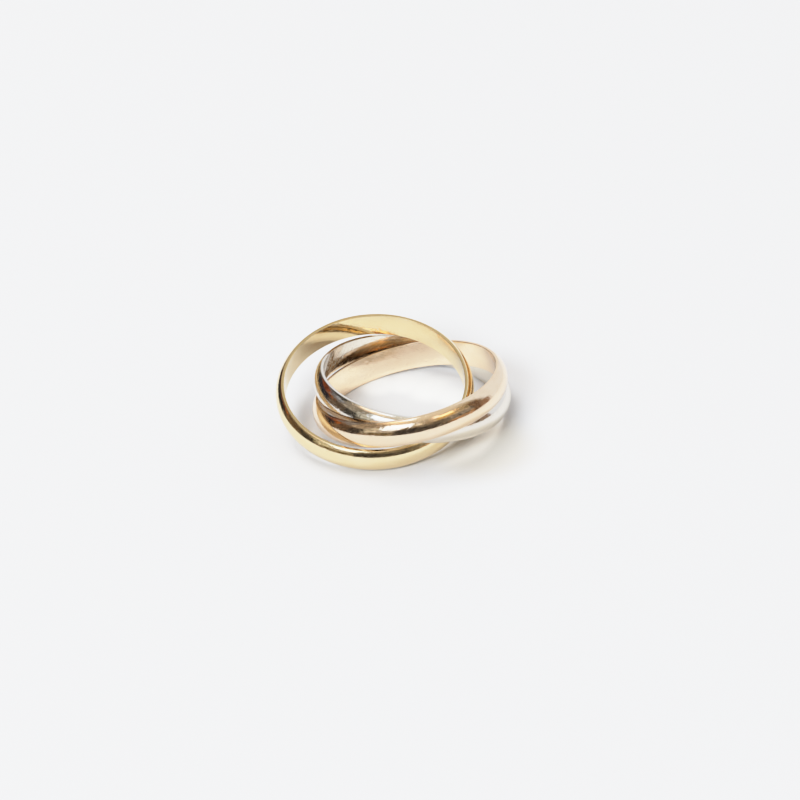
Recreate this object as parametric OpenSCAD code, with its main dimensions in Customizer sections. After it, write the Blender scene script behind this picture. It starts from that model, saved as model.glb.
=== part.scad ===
// Rolling ring: three linked half round bands of equal size, lying loosely on each other.
// Millimetres, +Z up. The origin is on the floor, at the middle of the jewel's box.
// The front is at -Y, where the yellow band lies low and the white and rose bands cross.

/* [Band] */
// Inside diameter of each band
bore_d = 19.08; // [19.08:0.02:19.2]
// Width of a band along its own axis
band_w = 2.86; // [2.66:0.05:2.86]
// Thickness of a band from its flat inner wall to the crest of its dome
band_t = 0.96; // [0.84:0.02:0.96]
// Thickness of a band at its two sides, where the dome starts
side_t = 0.32; // [0.26:0.02:0.38]
// Length along each side that is taken off where it meets the dome and the inner wall
edge_ease = 0.06; // [0.04:0.02:0.1]

/* [Yellow band] */
// Place of its centre to the right of the white band's centre
yellow_x = -3.98; // [-4:0.01:-3.96]
// Place of its centre behind the white band's centre
yellow_y = -0.5; // [-0.52:0.01:-0.48]
// Lean of the band from lying flat, in degrees
yellow_lean = 13.2; // [13.1:0.1:13.3]
// Compass direction of its low side, in degrees from +X
yellow_heading = -84; // [-84.5:0.5:-83.5]

/* [White band] */
// Lean of the band from lying flat, in degrees
white_lean = 11.8; // [11.7:0.1:11.9]
// Compass direction of its low side, in degrees from +X
white_heading = 38; // [37.5:0.5:38.5]

/* [Rose band] */
// Place of its centre to the right of the white band's centre
rose_x = -0.3; // [-0.32:0.01:-0.28]
// Place of its centre behind the white band's centre
rose_y = -1.43; // [-1.45:0.01:-1.41]
// Lean of the band from lying flat, in degrees
rose_lean = 13.7; // [13.6:0.1:13.8]
// Compass direction of its low side, in degrees from +X
rose_heading = 129; // [128.5:0.5:129.5]

/* [Hidden] */
$fn = 180;

// The D section, with x as the distance from the band's axis and y along that axis
bore_r = bore_d / 2;
crest_r = bore_r + band_t;
half_w = band_w / 2;

// The dome is one arc through the crest and the two corners where the sides end
dome_rise = band_t - side_t;
dome_r = (half_w * half_w + dome_rise * dome_rise) / (2 * dome_rise);
dome_x = crest_r - dome_r;

// The eased edge by the dome starts here on the side, and leans halfway between the two
ease_x = bore_r + side_t - edge_ease;
dome_edge_slope = 90 - asin(half_w / dome_r);
ease_slope = dome_edge_slope / 2;

// Height of a leaning band's centre, when its low edge rests on the floor
function rest_z(lean) = ease_x * sin(lean) + half_w * cos(lean);

// Largest distance of a leaning band from its centre along a level direction,
// where across is the part of the band's axis that lies along that direction
function reach(across) = dome_x * sqrt(1 - across * across) + dome_r;
function reach_x(lean, heading) = reach(sin(lean) * cos(heading));
function reach_y(lean, heading) = reach(sin(lean) * sin(heading));

// Middle of the box of all three bands, seen from the white band's centre
low_x = min(yellow_x - reach_x(yellow_lean, yellow_heading),
            -reach_x(white_lean, white_heading),
            rose_x - reach_x(rose_lean, rose_heading));
high_x = max(yellow_x + reach_x(yellow_lean, yellow_heading),
             reach_x(white_lean, white_heading),
             rose_x + reach_x(rose_lean, rose_heading));
low_y = min(yellow_y - reach_y(yellow_lean, yellow_heading),
            -reach_y(white_lean, white_heading),
            rose_y - reach_y(rose_lean, rose_heading));
high_y = max(yellow_y + reach_y(yellow_lean, yellow_heading),
             reach_y(white_lean, white_heading),
             rose_y + reach_y(rose_lean, rose_heading));
white_x = -(low_x + high_x) / 2;
white_y = -(low_y + high_y) / 2;

// Flat inner wall and sides with eased edges, under one arc for the dome
module band_section() {
    cut_drop = band_t * tan(ease_slope);
    intersection() {
        translate([dome_x, 0]) circle(r = dome_r);
        polygon([
            [bore_r, -half_w + edge_ease],
            [bore_r + edge_ease, -half_w],
            [ease_x, -half_w],
            [ease_x + band_t, -half_w + cut_drop],
            [ease_x + band_t, half_w - cut_drop],
            [ease_x, half_w],
            [bore_r + edge_ease, half_w],
            [bore_r, half_w - edge_ease]
        ]);
    }
}

// One band, leaning on the floor at a place measured from the white band's centre
module resting_band(x, y, lean, heading) {
    translate([white_x + x, white_y + y, rest_z(lean)])
        rotate([0, lean, heading])
            rotate_extrude() band_section();
}

module yellow_band() {
    color([0.86, 0.76, 0.5]) resting_band(yellow_x, yellow_y, yellow_lean, yellow_heading);
}

module white_band() {
    color([0.8, 0.78, 0.74]) resting_band(0, 0, white_lean, white_heading);
}

module rose_band() {
    color([0.86, 0.68, 0.56]) resting_band(rose_x, rose_y, rose_lean, rose_heading);
}

yellow_band();
white_band();
rose_band();
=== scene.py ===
# %% [markdown]
# # A rolling ring in three golds
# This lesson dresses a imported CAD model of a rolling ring: three plain bands, each passed through the other
# two, lying loose on a white table. The CAD model fixes where every band lies and how large it is. Blender
# adds what makes metal look like metal: soft shoulders, a polish with faint hairlines, three gold alloys,
# and a studio for them to mirror.

import math

import bmesh
import bpy
from mathutils import Matrix, Vector


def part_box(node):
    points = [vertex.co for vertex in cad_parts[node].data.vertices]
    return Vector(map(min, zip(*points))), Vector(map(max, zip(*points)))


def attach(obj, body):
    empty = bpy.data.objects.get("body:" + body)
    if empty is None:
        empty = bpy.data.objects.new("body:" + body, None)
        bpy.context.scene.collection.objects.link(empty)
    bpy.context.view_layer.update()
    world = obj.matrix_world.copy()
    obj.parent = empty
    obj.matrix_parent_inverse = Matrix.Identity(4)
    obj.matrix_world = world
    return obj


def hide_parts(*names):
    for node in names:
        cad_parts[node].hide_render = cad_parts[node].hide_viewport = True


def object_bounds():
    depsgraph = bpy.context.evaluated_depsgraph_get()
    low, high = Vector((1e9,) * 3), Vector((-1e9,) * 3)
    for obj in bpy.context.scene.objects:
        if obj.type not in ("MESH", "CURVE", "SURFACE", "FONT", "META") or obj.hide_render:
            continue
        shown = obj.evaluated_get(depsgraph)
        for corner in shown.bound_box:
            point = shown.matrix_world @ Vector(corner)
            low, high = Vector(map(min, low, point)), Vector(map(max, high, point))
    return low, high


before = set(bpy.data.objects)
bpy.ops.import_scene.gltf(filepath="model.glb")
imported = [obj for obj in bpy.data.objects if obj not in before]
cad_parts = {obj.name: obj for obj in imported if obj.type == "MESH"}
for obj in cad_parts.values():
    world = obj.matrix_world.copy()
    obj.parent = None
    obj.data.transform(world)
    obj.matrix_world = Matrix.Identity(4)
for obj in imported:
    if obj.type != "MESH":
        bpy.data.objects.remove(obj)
cad_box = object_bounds()
MM = 0.001
box_mm = [[round(c / MM, 2) for c in corner] for corner in cad_box]
print("nodes:", sorted(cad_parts), "box in mm:", box_mm)

# %% [markdown]
# ## Camera
# A close-up of jewellery is taken with a long lens from about forearm distance, which keeps the far side of
# the ring nearly as large as the near side. The view angle is given by the elevation above the table, the
# point on the table that lies in the middle of the picture, and a few degrees of roll, because the camera
# was held a little askew. An empty target or a Track To constraint could aim the camera, but neither gives
# the roll.

# %% Camera at the photograph's angle
ELEVATION = math.radians(34.52)
ROLL = math.radians(3.91)
DISTANCE = 450 * MM
AIM = Vector((0.648, 3.435, 0)) * MM
LENS = 189.68
SENSOR = 36.0

away = Vector((0, -math.cos(ELEVATION), math.sin(ELEVATION)))
view = Matrix.Rotation(math.pi / 2 - ELEVATION, 3, "X") @ Matrix.Rotation(-ROLL, 3, "Z")
bpy.ops.object.camera_add(location=AIM + DISTANCE * away, rotation=view.to_euler())
camera = bpy.context.object
camera.name = "camera"
camera.data.lens = LENS
camera.data.sensor_width = SENSOR
camera.data.clip_start = 10 * MM
bpy.context.scene.camera = camera
print("camera stands at", [round(c, 4) for c in camera.location])

# %% [markdown]
# ## Helpers for edit mode
# Edit-mode operators act on whatever is selected, so a maker selects first and then acts. These helpers
# clear the selection, and pick vertices or edges by where they are, which is what a mouse click does by
# hand.

# %% Helpers: deselect and select by place
def deselect_all():
    if bpy.context.object and bpy.context.object.mode != "OBJECT":
        bpy.ops.object.mode_set(mode="OBJECT")
    bpy.ops.object.select_all(action="DESELECT")


def select_vertices(piece, wanted):
    """Selects the vertices whose place the function wanted accepts, and what lies between them."""
    bpy.ops.mesh.select_mode(type="VERT")
    bpy.ops.mesh.select_all(action="DESELECT")
    mesh = bmesh.from_edit_mesh(piece.data)
    for vertex in mesh.verts:
        vertex.select_set(wanted(vertex.co))
    mesh.select_flush_mode()
    bmesh.update_edit_mesh(piece.data)
    return sum(vertex.select for vertex in mesh.verts)


def select_edges(piece, wanted):
    """Selects the edges both of whose ends the function wanted accepts."""
    bpy.ops.mesh.select_mode(type="EDGE")
    bpy.ops.mesh.select_all(action="DESELECT")
    mesh = bmesh.from_edit_mesh(piece.data)
    for edge in mesh.edges:
        edge.select_set(all(wanted(vertex.co) for vertex in edge.verts))
    bmesh.update_edit_mesh(piece.data)
    return sum(edge.select for edge in mesh.edges)


# %% [markdown]
# ## The section of a band
# A wedding band of this kind is turned or rolled with a D section: flat inside, domed outside, with a
# narrow flat side on each edge and a small round where the dome runs into it. It could be drawn as a curve,
# but a filled circle cut down to its outer cap gives the dome as a true arc, and a spin of each end point
# about the centre of its small round adds the shoulders, so that each arc leaves the one before it without
# a kink.

# %% Section sizes
BORE_R = 9.54 * MM
CREST_R = 10.50 * MM
HALF_W = 1.43 * MM
CORNER_R = 9.86 * MM
SHOULDER_EASE = 0.15 * MM
BORE_EASE = 0.06 * MM
CIRCLE_POINTS = 256
SHOULDER_STEPS = 8
BORE_STEPS = 3
TURN_STEPS = 480

# A point this near to a place counts as lying on it
TOUCH = 0.001 * MM

DOME_RISE = CREST_R - CORNER_R
DOME_R = (HALF_W ** 2 + DOME_RISE ** 2) / (2 * DOME_RISE)
DOME_X = CREST_R - DOME_R
ROUND_Z = HALF_W - SHOULDER_EASE
ROUND_X = DOME_X + math.sqrt((DOME_R - SHOULDER_EASE) ** 2 - ROUND_Z ** 2)
ROUND_START = math.atan2(ROUND_Z, ROUND_X - DOME_X)
SHOULDER_TURN = math.pi / 2 - ROUND_START
DOME_END_X = DOME_X + DOME_R * math.cos(ROUND_START)
print(f"dome radius {DOME_R / MM:.3f} mm, ending {math.degrees(ROUND_START):.1f} degrees from its crest,",
      f"flat side {(ROUND_X - BORE_R) / MM:.3f} mm wide")


# %% Draw the dome of the section
def draw_dome():
    deselect_all()
    bpy.ops.mesh.primitive_circle_add(
        vertices=CIRCLE_POINTS, radius=DOME_R, fill_type="NGON",
        location=(DOME_X, 0, 0), rotation=(math.pi / 2, 0, 0))
    piece = bpy.context.object
    bpy.ops.object.transform_apply(location=True, rotation=True)
    bpy.ops.object.mode_set(mode="EDIT")
    bpy.ops.mesh.select_all(action="SELECT")
    bpy.ops.mesh.bisect(
        plane_co=(DOME_END_X, 0, 0), plane_no=(1, 0, 0), clear_inner=True, threshold=TOUCH)
    bpy.ops.mesh.select_all(action="SELECT")
    bpy.ops.mesh.delete(type="ONLY_FACE")
    select_edges(piece, lambda co: abs(co.x - DOME_END_X) < TOUCH)
    bpy.ops.mesh.delete(type="EDGE")
    return piece


# %% Add the shoulders, the flat sides and the inner wall
def close_section(piece):
    for side in (1, -1):
        select_vertices(piece, lambda co: abs(co.x - DOME_END_X) < TOUCH and co.z * side > 0)
        bpy.ops.mesh.spin(
            steps=SHOULDER_STEPS, angle=side * SHOULDER_TURN,
            center=(ROUND_X, 0, side * ROUND_Z), axis=(0, 1, 0))
    ends = select_vertices(piece, lambda co: abs(co.x - ROUND_X) < TOUCH)
    bpy.ops.mesh.extrude_region_move(TRANSFORM_OT_translate={"value": (BORE_R - ROUND_X, 0, 0)})
    bpy.ops.mesh.edge_face_add()
    mesh = bmesh.from_edit_mesh(piece.data)
    loose = sum(len(vertex.link_edges) != 2 for vertex in mesh.verts)
    print("section:", len(mesh.verts), "points,", ends, "flat sides,", loose, "loose ends")


# %% [markdown]
# ## Turning the section into a band
# Spin sweeps the section about the finger's axis, as a lathe would. It merges its last copy with the first
# by itself, so only the normals are left to be made consistent. The two sharp rings that remain, at the
# bore, are then beveled: such a band is eased inside so that it slides over the finger.

# %% Spin and ease one band
def turn_band():
    bpy.ops.mesh.select_all(action="SELECT")
    bpy.ops.mesh.spin(steps=TURN_STEPS, angle=2 * math.pi, center=(0, 0, 0), axis=(0, 0, 1))
    bpy.ops.mesh.select_all(action="SELECT")
    bpy.ops.mesh.normals_make_consistent(inside=False)


def off_bore_edge(co, side):
    """How far a point is from the sharp ring at one end of the bore."""
    return abs(math.hypot(co.x, co.y) - BORE_R) + abs(co.z * side - HALF_W)


def ease_bore(piece):
    for side in (1, -1):
        select_edges(piece, lambda co: off_bore_edge(co, side) < TOUCH)
        bpy.ops.mesh.bevel(offset=BORE_EASE, segments=BORE_STEPS, profile=0.5, clamp_overlap=True)
    bpy.ops.mesh.select_all(action="SELECT")
    bpy.ops.mesh.normals_make_consistent(inside=False)
    mesh = bmesh.from_edit_mesh(piece.data)
    open_edges = sum(len(edge.link_faces) != 2 for edge in mesh.edges)
    print("band:", len(mesh.faces), "faces,", open_edges, "open edges,",
          round(mesh.calc_volume(signed=True) / MM ** 3, 2), "cubic mm")
    bpy.ops.object.mode_set(mode="OBJECT")


blank_band = draw_dome()
close_section(blank_band)
turn_band()
ease_bore(blank_band)

# %% [markdown]
# ## Shading the turned band
# The flat walls must mirror flatly right up to their soft edges. Plain smooth shading would bend the
# reflection across the whole wall, so a Weighted Normal modifier lets the large faces keep their own
# direction and gives the turn to the narrow bevels. It adds up face areas in square metres and drops sums
# below a millionth, which is every sum on a jewel, so the band is enlarged while the modifier is applied,
# and then made small again.

# %% Smooth shading with weighted normals
ENLARGED = 1000.0
NEUTRAL_WEIGHT = 50
WALL_FACE_AREA = 0.1 * MM ** 2


def rescale(piece, factor):
    piece.scale = (factor, factor, factor)
    bpy.ops.object.transform_apply(location=False, rotation=False, scale=True)


bpy.ops.object.shade_smooth()
rescale(blank_band, ENLARGED)
weighted = blank_band.modifiers.new("weighted normals", "WEIGHTED_NORMAL")
weighted.mode = "FACE_AREA"
weighted.weight = NEUTRAL_WEIGHT
bpy.ops.object.modifier_apply(modifier=weighted.name)
rescale(blank_band, 1 / ENLARGED)
normals = blank_band.data.corner_normals
wall_faces = [face for face in blank_band.data.polygons if face.area > WALL_FACE_AREA]
wall_corners = [corner for face in wall_faces for corner in face.loop_indices]
tilt = math.asin(max(abs(normals[corner].vector.z) for corner in wall_corners))
print(len(wall_faces), "inner wall faces, their normals tilted by at most",
      round(math.degrees(tilt), 2), "degrees")

# %% [markdown]
# ## Laying the three bands down
# The bands are the same blank in three alloys, so one is modelled and copied three times, each copy with a
# mesh of its own. Each lies on its low edge and leans on nothing. Its place is a centre, a lean away from
# level and the compass direction of its low side, the same numbers that the CAD source uses. Parenting to
# an empty could hold the lean, but applied transforms leave every mesh in the shared frame, which the
# export wants.

# %% Where the bands lie
# Centre in mm, lean and heading in degrees
BANDS = {
    "yellow": {"centre": (-1.9351, 0.1758, 3.6301), "lean": 13.2, "heading": -84},
    "white": {"centre": (2.0449, 0.6758, 3.4038), "lean": 11.8, "heading": 38},
    "rose": {"centre": (1.7449, -0.7542, 3.7103), "lean": 13.7, "heading": 129},
}


def band_rotation(alloy):
    lean = Matrix.Rotation(math.radians(BANDS[alloy]["lean"]), 4, "Y")
    heading = Matrix.Rotation(math.radians(BANDS[alloy]["heading"]), 4, "Z")
    return heading @ lean


def band_centre(alloy):
    return Vector(BANDS[alloy]["centre"]) * MM


# %% Place one copy for each alloy
def place_band(alloy):
    deselect_all()
    band = blank_band.copy()
    band.data = blank_band.data.copy()
    band.name = band.data.name = alloy + "_gold_band"
    bpy.context.collection.objects.link(band)
    band.matrix_world = Matrix.Translation(band_centre(alloy)) @ band_rotation(alloy)
    band.select_set(True)
    bpy.context.view_layer.objects.active = band
    bpy.ops.object.transform_apply(location=True, rotation=True, scale=True)
    node_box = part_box(alloy + "_band")
    own_box = [Vector(min(v.co[i] for v in band.data.vertices) for i in range(3)),
               Vector(max(v.co[i] for v in band.data.vertices) for i in range(3))]
    gap = max(abs(own_box[k][i] - node_box[k][i]) for k in (0, 1) for i in range(3))
    print(alloy, "band box differs from its CAD node by at most", round(gap / MM, 3), "mm")
    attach(band, alloy)
    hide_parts(alloy + "_band")
    return band


bands = {alloy: place_band(alloy) for alloy in BANDS}
deselect_all()
bpy.data.objects.remove(blank_band)

# %% [markdown]
# ## Gold alloys
# Polished gold is a mirror with a colour of its own, so metallic is 1 and nearly all the look comes from
# what it mirrors. What keeps it from looking like glass is fine wear: hairlines that run mostly round the
# band, a slight unevenness left by hand polishing, and a faint film that dulls it in patches.

# %% Node helpers
def add_node(tree, kind, values=None, **properties):
    node = tree.nodes.new(kind)
    for name, value in properties.items():
        setattr(node, name, value)
    for socket, value in (values or {}).items():
        node.inputs[socket].default_value = value
    return node


def feed(tree, value, socket):
    """Links an output to the socket, or sets the socket to a number or a colour."""
    if isinstance(value, bpy.types.NodeSocket):
        tree.links.new(value, socket)
    elif isinstance(value, tuple):
        socket.default_value = (*value, 1)
    else:
        socket.default_value = value


# The Mix node has inputs A and B and a result for each type of data, known by their numbers
MIX_SOCKETS = {"FLOAT": (2, 3, 0), "RGBA": (6, 7, 2)}


def blend(tree, mask, under, over, data_type="RGBA", title=""):
    """What is under where the mask is 0, and what is over it where the mask is 1."""
    node = add_node(tree, "ShaderNodeMix", data_type=data_type, label=title)
    first, second, result = MIX_SOCKETS[data_type]
    feed(tree, mask, node.inputs[0])
    feed(tree, under, node.inputs[first])
    feed(tree, over, node.inputs[second])
    return node.outputs[result]


# %% The band's own coordinates
def band_coordinates(tree, alloy):
    """Coordinates in mm from the band's centre, with Z along the band's axis."""
    coordinates = add_node(tree, "ShaderNodeTexCoord")
    mapping = add_node(tree, "ShaderNodeMapping", {
        "Location": band_centre(alloy),
        "Rotation": band_rotation(alloy).to_euler("XYZ"),
        "Scale": (MM, MM, MM)}, vector_type="TEXTURE")
    tree.links.new(coordinates.outputs["Object"], mapping.inputs["Vector"])
    return mapping.outputs["Vector"]


# %% [markdown]
# ## Wear that follows the band
# A ring is polished and worn round and round, so its marks run that way. Noise stretched along the unrolled
# band would show a seam where its two ends meet. Instead it is sampled slowly in the band's plane and
# quickly across it, so that its streaks close on themselves. The distance from the axis tells the inner
# wall from the dome.

# %% Fields measured on the band
def math_node(tree, operation, a, b=0.0):
    node = add_node(tree, "ShaderNodeMath", operation=operation)
    feed(tree, a, node.inputs[0])
    feed(tree, b, node.inputs[1])
    return node.outputs[0]


def remap(tree, value, low, high, to_low, to_high, soft="LINEAR"):
    limits = {1: low, 2: high, 3: to_low, 4: to_high}
    node = add_node(tree, "ShaderNodeMapRange", limits, interpolation_type=soft)
    tree.links.new(value, node.inputs[0])
    return node.outputs[0]


def radius_field(tree, own):
    """Distance from the band's axis, in mm."""
    flat = add_node(tree, "ShaderNodeVectorMath", {1: (1, 1, 0)}, operation="MULTIPLY")
    length = add_node(tree, "ShaderNodeVectorMath", operation="LENGTH")
    tree.links.new(own, flat.inputs[0])
    tree.links.new(flat.outputs[0], length.inputs[0])
    return length.outputs["Value"]


ROUND_NOISE_ROUGHNESS = 0.6


def round_noise(tree, own, radius, along, across, detail, seed):
    """Noise whose streaks run round the band: along and across are its grains for each mm."""
    stretch = add_node(tree, "ShaderNodeVectorMath", {1: (along, along, across)}, operation="MULTIPLY")
    tree.links.new(own, stretch.inputs[0])
    noise = add_node(tree, "ShaderNodeTexNoise", {
        "Scale": 1.0, "Detail": detail, "Roughness": ROUND_NOISE_ROUGHNESS}, noise_dimensions="4D")
    tree.links.new(stretch.outputs[0], noise.inputs["Vector"])
    depth = math_node(tree, "ADD", math_node(tree, "MULTIPLY", radius, across), seed)
    tree.links.new(depth, noise.inputs["W"])
    return noise.outputs["Fac"]


# %% [markdown]
# ## Scratches and dents
# Rings knock against keys and door handles, which leaves short straight scratches at all angles and shallow
# dents. For straight lines the band is unrolled: the angle round it and the height across it become flat
# coordinates. A noise that is stretched along one direction and cut off near its top leaves a few thin
# strokes.

# %% Strokes on the unrolled band
STROKE_CUT = (0.66, 0.74)
DENT_CUT = (0.62, 0.80)


def unrolled(tree, own):
    """The band rolled out flat: mm round it, and mm across it."""
    axes = add_node(tree, "ShaderNodeSeparateXYZ")
    flat = add_node(tree, "ShaderNodeCombineXYZ")
    tree.links.new(own, axes.inputs[0])
    turn = math_node(tree, "ARCTAN2", axes.outputs["Y"], axes.outputs["X"])
    tree.links.new(math_node(tree, "MULTIPLY", turn, CREST_R / MM), flat.inputs["X"])
    tree.links.new(axes.outputs["Z"], flat.inputs["Y"])
    return flat.outputs[0]


def scratches(tree, flat, angle, length, width, seed):
    """1 on a stroke and 0 beside it. Strokes are about length long and width wide, in mm."""
    turn = add_node(tree, "ShaderNodeMapping", {
        "Location": (seed, seed, 0), "Rotation": (0, 0, math.radians(angle)), "Scale": (length, width, 1)},
        vector_type="TEXTURE")
    noise = add_node(tree, "ShaderNodeTexNoise", {"Scale": 1.0, "Detail": 1.0}, noise_dimensions="2D")
    tree.links.new(flat, turn.inputs["Vector"])
    tree.links.new(turn.outputs["Vector"], noise.inputs["Vector"])
    return remap(tree, noise.outputs["Fac"], *STROKE_CUT, 0.0, 1.0)


def dents(tree, own, size, seed):
    """Shallow round hollows: 1 at the bottom of one, 0 between them."""
    spots = add_node(tree, "ShaderNodeTexNoise", {"W": seed, "Scale": 1 / size, "Detail": 0.0},
                     noise_dimensions="4D")
    tree.links.new(own, spots.inputs["Vector"])
    return remap(tree, spots.outputs["Fac"], *DENT_CUT, 0.0, 1.0, soft="SMOOTHSTEP")


def weighted_sum(tree, terms):
    total = 0.0
    for value, weight in terms:
        total = math_node(tree, "ADD", math_node(tree, "MULTIPLY", value, weight), total)
    return total


# %% [markdown]
# ## One recipe for three alloys
# The three golds are polished on the same wheel, so they share one recipe and differ in colour and wear
# alone. Base Color is the alloy's own, mixed towards a darker one where the film lies. Roughness follows
# the film on the dome and the hairlines on the inner wall. All marks meet in one height in mm, which Bump
# turns into normals: displacing the mesh would take far more faces for marks this shallow.

# %% Roughness and heights of the wear
# Lowest and highest roughness
DOME_POLISH = (0.03, 0.07)
INNER_POLISH = (0.03, 0.065)

# Added to the roughness where a scratch runs
SCRATCH_ROUGHNESS = 0.10

# Heights and sizes in mm
WAVE_HEIGHT = 0.010
DENT_DEPTH = -0.005
HAIRLINE_HEIGHT = 0.0006
SCRATCH_DEPTH = -0.0012
DENT_SIZE = 0.55

# Distances from the axis, in mm, between which the inner wall's finish ends
WALL_END = (BORE_R / MM + 0.01, BORE_R / MM + 0.05)

# %% Patterns of the wear
# Grains for each mm round the band, grains for each mm across it, and detail
FILM_NOISE = (0.5, 0.9, 4.0)
HAIRLINE_NOISE = (0.35, 22.0, 3.0)
WAVE_NOISE = (0.45, 0.8, 2.0)

# The part of a noise that is used, from nothing to everything
FILM_CUT = (0.35, 0.7)
HAIRLINE_CUT = (0.3, 0.7)

# Added to a band's own seed, so that its patterns don't repeat each other
HAIRLINE_SEED = 11
WAVE_SEED = 23
DENT_SEED = 31

# Angle in degrees, length and width in mm, and a number that moves the pattern along
STROKES = [
    (24, 1.6, 0.05, 0),
    (-38, 1.2, 0.06, -38),
    (78, 0.8, 0.05, 78),
]


# %% Recipe: strokes of every kind
def all_strokes(tree, own, seed):
    flat = unrolled(tree, own)
    strokes = 0.0
    for angle, length, width, shift in STROKES:
        more = scratches(tree, flat, angle, length, width, seed + shift)
        strokes = math_node(tree, "MAXIMUM", strokes, more)
    return strokes


# %% Recipe: roughness
def roughness_field(tree, radius, film, hairlines):
    """Follows the film on the dome, and the hairlines on the inner wall."""
    on_wall = remap(tree, radius, *WALL_END, 1.0, 0.0)
    of_dome = remap(tree, film, *FILM_CUT, *DOME_POLISH)
    of_wall = remap(tree, hairlines, *HAIRLINE_CUT, *INNER_POLISH)
    return blend(tree, on_wall, of_dome, of_wall, data_type="FLOAT")


# %% Recipe: the whole material
def gold_material(alloy, colour, film_colour, wear, seed):
    material = bpy.data.materials.new(alloy + "_gold_polished")
    material.use_nodes = True
    tree = material.node_tree
    link = tree.links.new
    shader = tree.nodes["Principled BSDF"]
    shader.inputs["Metallic"].default_value = 1.0
    own = band_coordinates(tree, alloy)
    radius = radius_field(tree, own)

    film = round_noise(tree, own, radius, *FILM_NOISE, seed)
    filmed = remap(tree, film, *FILM_CUT, 0.0, 1.0)
    link(blend(tree, filmed, colour, film_colour), shader.inputs["Base Color"])

    hairlines = round_noise(tree, own, radius, *HAIRLINE_NOISE, seed + HAIRLINE_SEED)
    polish = roughness_field(tree, radius, film, hairlines)
    strokes = all_strokes(tree, own, seed)
    scuffed = weighted_sum(tree, [(strokes, SCRATCH_ROUGHNESS * wear), (polish, 1.0)])
    link(scuffed, shader.inputs["Roughness"])

    height = weighted_sum(tree, [
        (round_noise(tree, own, radius, *WAVE_NOISE, seed + WAVE_SEED), WAVE_HEIGHT),
        (dents(tree, own, DENT_SIZE, seed + DENT_SEED), DENT_DEPTH * wear),
        (hairlines, HAIRLINE_HEIGHT * wear),
        (strokes, SCRATCH_DEPTH * wear)])
    bump = add_node(tree, "ShaderNodeBump", {"Strength": 1.0, "Distance": MM})
    link(height, bump.inputs["Height"])
    link(bump.outputs[0], shader.inputs["Normal"])
    return material


# %% Three alloys
# How much further on each band's patterns start than those of the band before it
SEED_STEP = 3.7

# Plain colour, colour where the film lies, and how worn the band is
ALLOYS = {
    "yellow": ((0.94, 0.76, 0.475), (0.91, 0.71, 0.415), 1.0),
    "white": ((0.82, 0.76, 0.67), (0.78, 0.72, 0.63), 1.3),
    "rose": ((0.93, 0.73, 0.53), (0.90, 0.68, 0.475), 1.0),
}
for count, (alloy, (colour, film_colour, wear)) in enumerate(ALLOYS.items()):
    gold = gold_material(alloy, colour, film_colour, wear, SEED_STEP * count)
    bands[alloy].data.materials.clear()
    bands[alloy].data.materials.append(gold)
    print(alloy, "gold: colour", colour, "wear", wear)

# %% [markdown]
# ## White paper
# The ring lies on white paper with no gloss. The bands throw light back onto it: a bright streak along the
# far side of the hole, and warm light in their own shadow on the right. The two lights further down are
# hidden from mirror rays, so that light is missing from the render, and the paper's colour carries it
# instead as painted light: the bright streak and a paler spot behind it. The paper's colour also carries
# painted shade: a painted warm shadow beside the bands on the right, and painted shade in the hole and
# behind the left ends of the bands, where the lamps cast too little shade.
# A tint is a round spot whose mask is the distance from its centre, and each spot is laid over the ones
# before it.

# %% Painted light and shade on the paper
PAPER_ROUGHNESS = 0.9
PAPER = (0.785, 0.80, 0.83)
PAPER_LIT = (0.98, 1.0, 1.0)

# Colour, centre, and how far from it a spot starts to fade and has ended, in mm
SPOTS = [
    # painted shadow: darker, warmer paper beside the bands on the right
    ("painted warm shadow, right", (0.705, 0.68, 0.63), (9, -6.5, 0), 3, 7.5),
    ("shade in the hole", (0.73, 0.745, 0.77), (0.5, 3, 0), 4, 7),
    ("shade behind the left ends", (0.675, 0.68, 0.70), (-6.5, 8, 0), 1, 4),
    # painted light: a paler spot behind the bright streak that the bands throw back
    ("painted light behind the streak", (0.90, 0.93, 0.96), (2.2, 8, 0), 0.7, 2.8),
    ("streak, left end", PAPER_LIT, (-1.6, 6.5, 0), 0.8, 2.6),
    ("streak, left half", PAPER_LIT, (1.2, 6.3, 0), 0.7, 2.4),
    ("streak, middle", PAPER_LIT, (4, 5, 0), 1, 3.2),
    ("streak, right end", PAPER_LIT, (6.2, 3.4, 0), 0.7, 2.4),
]

# %% Paper material
paper = bpy.data.materials.new("white_paper")
paper.use_nodes = True
paper_tree = paper.node_tree
paper_shader = paper_tree.nodes["Principled BSDF"]
paper_shader.inputs["Roughness"].default_value = PAPER_ROUGHNESS
paper_shader.inputs["Specular IOR Level"].default_value = 0.0
place_on_paper = add_node(paper_tree, "ShaderNodeTexCoord")


def tint_paper(title, under, colour, centre, core, rim):
    """Full colour up to core from the centre, fading to what lies under it at rim, in mm."""
    distance = add_node(paper_tree, "ShaderNodeVectorMath", {1: Vector(centre) * MM}, operation="DISTANCE")
    paper_tree.links.new(place_on_paper.outputs["Object"], distance.inputs[0])
    mask = remap(paper_tree, distance.outputs["Value"], core * MM, rim * MM, 1.0, 0.0, soft="SMOOTHSTEP")
    return blend(paper_tree, mask, under, colour, title=title)


tinted = PAPER
for title, colour, centre, core, rim in SPOTS:
    tinted = tint_paper(title, tinted, colour, centre, core, rim)
paper_tree.links.new(tinted, paper_shader.inputs["Base Color"])
print("paper:", len(SPOTS), "tinted spots")

# %% [markdown]
# ## A wide table and a small sheet
# The camera must see no edge of the paper, so the plane is wide. The domes tell another story: each has a
# dark stripe that starts several degrees below the horizon, so the paper that they mirror ends in front and
# at the sides, some 35 mm from the ring's middle. One plane can't do both. Ray visibility can: the wide
# table is hidden from mirror rays, and a small sheet a hundredth of a millimetre above it is seen by mirror
# rays alone.

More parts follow.
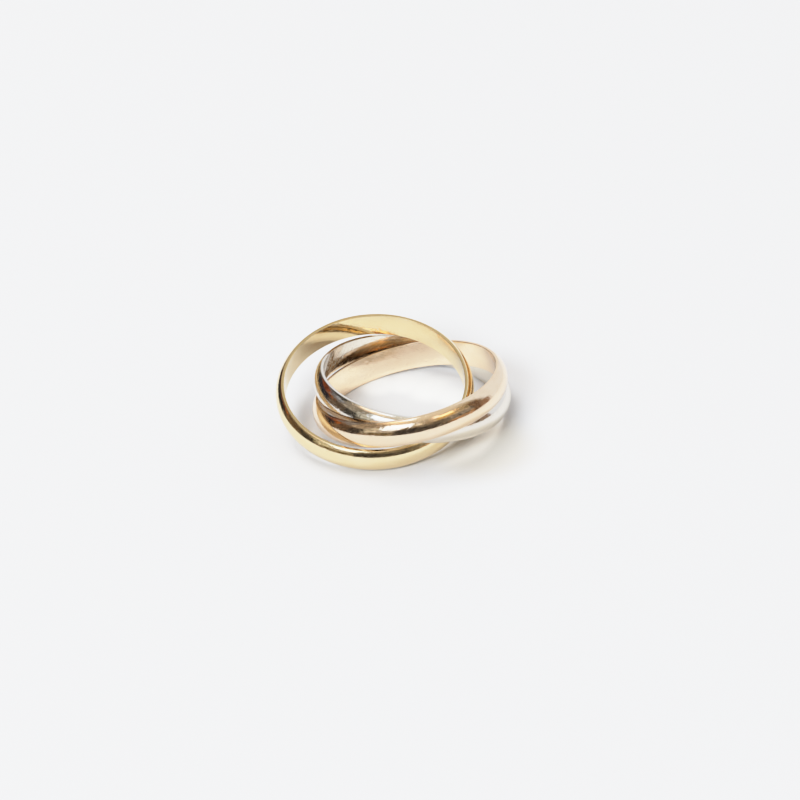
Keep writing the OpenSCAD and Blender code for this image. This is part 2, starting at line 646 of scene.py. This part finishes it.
# %% Wide table for the eye, small sheet for the mirror
def lay_paper(name, low, high, height):
    middle = ((low[0] + high[0]) / 2, (low[1] + high[1]) / 2, height)
    bpy.ops.mesh.primitive_plane_add(size=1, location=middle)
    sheet = bpy.context.object
    sheet.name = name
    sheet.scale = (high[0] - low[0], high[1] - low[1], 1)
    bpy.ops.object.transform_apply(location=True, rotation=False, scale=True)
    sheet.data.materials.append(paper)
    return sheet


TABLE_HALF = 1500 * MM
SHEET_LOW = (-35 * MM, -38 * MM)
SHEET_HIGH = (37 * MM, 300 * MM)
SHEET_LIFT = 0.01 * MM
table = lay_paper("white_table", (-TABLE_HALF, -TABLE_HALF), (TABLE_HALF, TABLE_HALF), 0)
table.visible_glossy = False
sheet = lay_paper("mirrored_sheet", SHEET_LOW, SHEET_HIGH, SHEET_LIFT)
sheet.visible_camera = False
sheet.visible_diffuse = False
sheet.visible_shadow = False
print("sheet that the metal mirrors:", [round(side / MM) for side in sheet.dimensions[:2]], "mm")

# %% [markdown]
# ## The studio
# Metal shows its surroundings more than itself, so they decide whether it looks like gold. The world is
# painted as a room by direction: a tall window in front to the left, a warm lamp in front to the right,
# dark furniture low in front, and a white backdrop on the right. Each is a soft-edged card, given by its
# azimuth and elevation as seen from the ring, where azimuth 0 is the camera's side. A later card hangs in
# front of an earlier one.

# %% World: direction as azimuth and elevation
world = bpy.data.worlds.new("studio")
bpy.context.scene.world = world
world.use_nodes = True
sky = world.node_tree
background = sky.nodes["Background"]

direction = add_node(sky, "ShaderNodeTexCoord")
parts = add_node(sky, "ShaderNodeSeparateXYZ")
sky.links.new(direction.outputs["Generated"], parts.inputs[0])
DEGREES = 180 / math.pi
forward = math_node(sky, "MULTIPLY", parts.outputs["Y"], -1.0)
azimuth = math_node(sky, "MULTIPLY", math_node(sky, "ARCTAN2", parts.outputs["X"], forward), DEGREES)
elevation = math_node(sky, "MULTIPLY", math_node(sky, "ARCSINE", parts.outputs["Z"]), DEGREES)


# %% World: soft-edged cards
def window_mask(value, low, high, soft):
    """1 between low and high, fading to 0 over soft degrees outside them."""
    middle, half = (low + high) / 2, (high - low) / 2
    distance = math_node(sky, "ABSOLUTE", math_node(sky, "SUBTRACT", value, middle))
    return remap(sky, distance, half + soft, half, 0.0, 1.0, soft="SMOOTHSTEP")


def hang_card(title, under, colour, azimuths, elevations, soft):
    across = window_mask(azimuth, *azimuths, soft[0])
    upright = window_mask(elevation, *elevations, soft[1])
    mask = math_node(sky, "MULTIPLY", across, upright)
    return blend(sky, mask, under, colour, title=title)


# %% World: plain walls and ceiling
WALLS = (0.42, 0.36, 0.28)
CEILING = (0.82, 0.77, 0.65)
CEILING_RISE = (38.0, 70.0)
above = remap(sky, elevation, *CEILING_RISE, 0.0, 1.0, soft="SMOOTHSTEP")
light = blend(sky, above, WALLS, CEILING, title="plain walls and ceiling")

# %% World: furniture
# Colour, azimuths, elevations, and the degrees over which its sides and its ends fade
FURNITURE = [
    ("brown-grey room, rear left", (0.22, 0.20, 0.205), (-184, -128), (21, 48), (7, 4)),
    ("dark corner, rear left", (0.08, 0.07, 0.08), (-147, -126), (35, 49), (5, 4)),
    ("dim wall, left", (0.30, 0.25, 0.19), (-118, -58), (34, 53), (6, 4)),
    ("shaded corner, far left", (0.19, 0.155, 0.13), (-136, -114), (46, 60), (6, 5)),
    ("grey wall, low left", (0.21, 0.20, 0.205), (-127, -96), (19, 36), (5, 4)),
    ("wall over the window", (0.84, 0.66, 0.48), (-86, -18), (53, 58), (6, 3)),
    ("brown wall, right", (0.40, 0.33, 0.22), (58, 86), (28, 48), (4, 6)),
    ("brown wall behind the cupboard", (0.25, 0.21, 0.15), (-12, 34), (22, 28), (5, 3)),
    ("cream wall by the window", (0.56, 0.53, 0.44), (-66, -48), (-20, 30), (5, 6)),
    ("beige chair", (0.42, 0.38, 0.33), (-46, -22), (8, 19), (5, 4)),
    ("shaded foot of the wall", (0.27, 0.23, 0.18), (-66, -48), (-20, 4), (5, 5)),
    ("olive table leg", (0.18, 0.145, 0.085), (-52, -28), (-20, 9), (5, 4)),
    ("dark doorway", (0.052, 0.047, 0.044), (-22, 4), (-20, 18), (6, 6)),
    ("dark cupboard", (0.17, 0.15, 0.12), (4, 43), (-20, 23), (4, 6)),
    ("shadow below the cupboard", (0.085, 0.075, 0.065), (4, 28), (-20, 13), (5, 5)),
    ("grey cupboard", (0.25, 0.23, 0.20), (45, 73), (2, 23), (4, 5)),
    ("orange-brown bench", (0.42, 0.26, 0.15), (46, 98), (-20, 2), (8, 5)),
    ("brown post", (0.16, 0.105, 0.07), (76, 87), (-12, 38), (4, 6)),
    ("dark cabinet, left", (0.052, 0.046, 0.04), (-85, -68), (-20, 20), (4, 6)),
    ("brown wall, left", (0.13, 0.09, 0.06), (-110, -86), (-20, 22), (5, 4)),
    ("orange box", (0.36, 0.12, 0.035), (-116, -106), (13, 19), (4, 3)),
    ("black chair, left", (0.03, 0.03, 0.036), (-148, -112), (-6, 12), (6, 5)),
    ("red-brown cabinet", (0.18, 0.045, 0.015), (-142, -121), (15, 26), (5, 4)),
    ("dark shelf, left", (0.045, 0.042, 0.042), (-132, -106), (37, 48), (5, 4)),
    ("grey screen, left", (0.32, 0.33, 0.35), (-113, -98), (33, 37), (4, 3)),
]
for title, colour, azimuths, elevations, soft in FURNITURE:
    light = hang_card(title, light, colour, azimuths, elevations, soft)

# %% [markdown]
# ## Clutter, windows and lamps
# A real room isn't made of even patches. A noise makes the cards darker and lighter in places, less so
# towards the ceiling, and stands for all that is too small to hang as a card. What gives light hangs in
# front of it.

# %% World: clutter
CLUTTER_GRAIN = (13, 13, 7)
CLUTTER_DETAIL = 3.0
CLUTTER_ROUGHNESS = 0.65
CLUTTER_CUT = (0.32, 0.68)
CLUTTER_GAIN = (0.3, 1.75)
CLUTTER_FADE = (30.0, 60.0)
CLUTTER_LEFT = 0.15

stretch = add_node(sky, "ShaderNodeVectorMath", {1: CLUTTER_GRAIN}, operation="MULTIPLY")
sky.links.new(direction.outputs["Generated"], stretch.inputs[0])
clutter = add_node(sky, "ShaderNodeTexNoise", {
    "Scale": 1.0, "Detail": CLUTTER_DETAIL, "Roughness": CLUTTER_ROUGHNESS})
sky.links.new(stretch.outputs[0], clutter.inputs["Vector"])
uneven = remap(sky, clutter.outputs["Fac"], *CLUTTER_CUT, *CLUTTER_GAIN)
strength = remap(sky, elevation, *CLUTTER_FADE, 1.0, CLUTTER_LEFT, soft="SMOOTHSTEP")
gain = blend(sky, strength, 1.0, uneven, data_type="FLOAT")
cluttered = add_node(sky, "ShaderNodeVectorMath", operation="SCALE")
sky.links.new(light, cluttered.inputs[0])
sky.links.new(gain, cluttered.inputs["Scale"])
light = cluttered.outputs[0]

# %% World: what gives light
# Columns as for the furniture
GLOWING = [
    ("bright ceiling, left", (2.0, 2.2, 2.5), (-105, -30), (69, 90), (15, 4)),
    ("white backdrop, right", (0.97, 1.02, 1.11), (98, 200), (-30, 78), (9, 8)),
    ("white backdrop, rear left", (0.97, 0.98, 1.0), (-200, -172), (-30, 30), (8, 5)),
    ("cream wall, rear", (0.55, 0.50, 0.40), (-190, -150), (48, 72), (8, 6)),
    ("cream wall, rear right", (0.55, 0.50, 0.40), (165, 200), (48, 72), (8, 6)),
    ("window", (2.2, 2.6, 3.1), (-46, -12), (31, 47), (7, 4)),
    ("window foot", (1.9, 2.1, 2.4), (-41, -23), (24, 33), (5, 4)),
    ("lit edge by the window", (1.05, 0.92, 0.72), (-1, 5), (33, 39), (3, 4)),
    ("lampshade", (0.66, 0.46, 0.17), (28, 51), (34, 41), (5, 4)),
    ("warm lamp", (2.6, 1.75, 0.98), (34, 54), (44, 51), (5, 3)),
    ("cool streak by the lamp", (1.9, 1.45, 1.2), (24, 31), (47, 57), (3, 3)),
    ("high window", (2.5, 1.75, 1.2), (-92, -62), (60, 65), (4, 3)),
    ("high window, right pane", (1.45, 1.05, 0.75), (-60, -38), (60, 65), (5, 3)),
    ("wooden edge before the backdrop", (0.30, 0.195, 0.135), (86, 96), (-30, 10), (5, 6)),
]
for title, colour, azimuths, elevations, soft in GLOWING:
    light = hang_card(title, light, colour, azimuths, elevations, soft)

# %% World: pale ceiling overhead
ZENITH_GLOW = (0.9, 0.9, 0.9)
ZENITH_RISE = (77.0, 85.0)
overhead = remap(sky, elevation, *ZENITH_RISE, 0.0, 1.0, soft="SMOOTHSTEP")
light = blend(sky, overhead, light, ZENITH_GLOW, title="pale ceiling overhead")
sky.links.new(light, background.inputs["Color"])
background.inputs["Strength"].default_value = 1.0
print("studio:", len(FURNITURE), "dark cards and", len(GLOWING), "bright ones")

# %% [markdown]
# ## Two lights
# Most of the light comes through the window in front to the left, so the soft shadow falls behind the ring
# to the right. A second light, high up at the rear left, gives the darker shadow beside the raised bands on
# the right. Two rectangular softboxes cast these shadows faster and with less noise than the painted room
# does. The metal already mirrors the room's own windows, so both are hidden from mirror rays.

# %% Softbox in the window and skylight
LIGHT_DISTANCE = 1.6


def softbox(name, azimuth_deg, elevation_deg, width, height, power, colour):
    """An area light that faces the ring: degrees, metres and watts."""
    turn, rise = math.radians(azimuth_deg), math.radians(elevation_deg)
    toward = Vector((math.sin(turn) * math.cos(rise), -math.cos(turn) * math.cos(rise), math.sin(rise)))
    bpy.ops.object.light_add(type="AREA", location=toward * LIGHT_DISTANCE)
    lamp = bpy.context.object
    lamp.name = name
    lamp.rotation_euler = toward.to_track_quat("Z", "Y").to_euler()
    lamp.data.shape = "RECTANGLE"
    lamp.data.size = width
    lamp.data.size_y = height
    lamp.data.energy = power
    lamp.data.color = colour
    lamp.visible_glossy = False
    print(name, "stands at", [round(c, 2) for c in lamp.location])


softbox("softbox", azimuth_deg=-32, elevation_deg=40, width=0.72, height=0.5,
        power=17.0, colour=(0.90, 0.96, 1.0))
softbox("skylight", azimuth_deg=-128, elevation_deg=65, width=0.9, height=0.9,
        power=12.8, colour=(1.0, 0.99, 0.97))

# %% [markdown]
# ## Film curve
# A white table under a window is brighter than a picture can show, and a camera rolls such tones off
# softly. That is why gold looks pale where it mirrors the table and deep where it mirrors itself. A filmic
# view transform would do this too, but it also greys the middle tones. A short curve bends only what is
# brighter than about half.

# %% Roll off the bright tones
FILM_WHITE = 3.0

# Light that comes in, and how much of it is shown
FILM_CURVE = [
    (0.25, 0.25),
    (0.5, 0.49),
    (0.8, 0.735),
    (1.0, 0.835),
    (1.25, 0.905),
    (1.6, 0.955),
    (2.2, 1.0),
]
look = bpy.context.scene.view_settings
look.view_transform = "Standard"
look.use_curve_mapping = True
film = look.curve_mapping
film.white_level = (FILM_WHITE, FILM_WHITE, FILM_WHITE)

# The last curve acts on the three colours together
tone = film.curves[-1]
for light_in, shown in FILM_CURVE:
    tone.points.new(light_in / FILM_WHITE, shown)
for point in tone.points:
    point.handle_type = "AUTO_CLAMPED"
film.update()
print("film curve:", len(tone.points), "points, white at", FILM_WHITE)
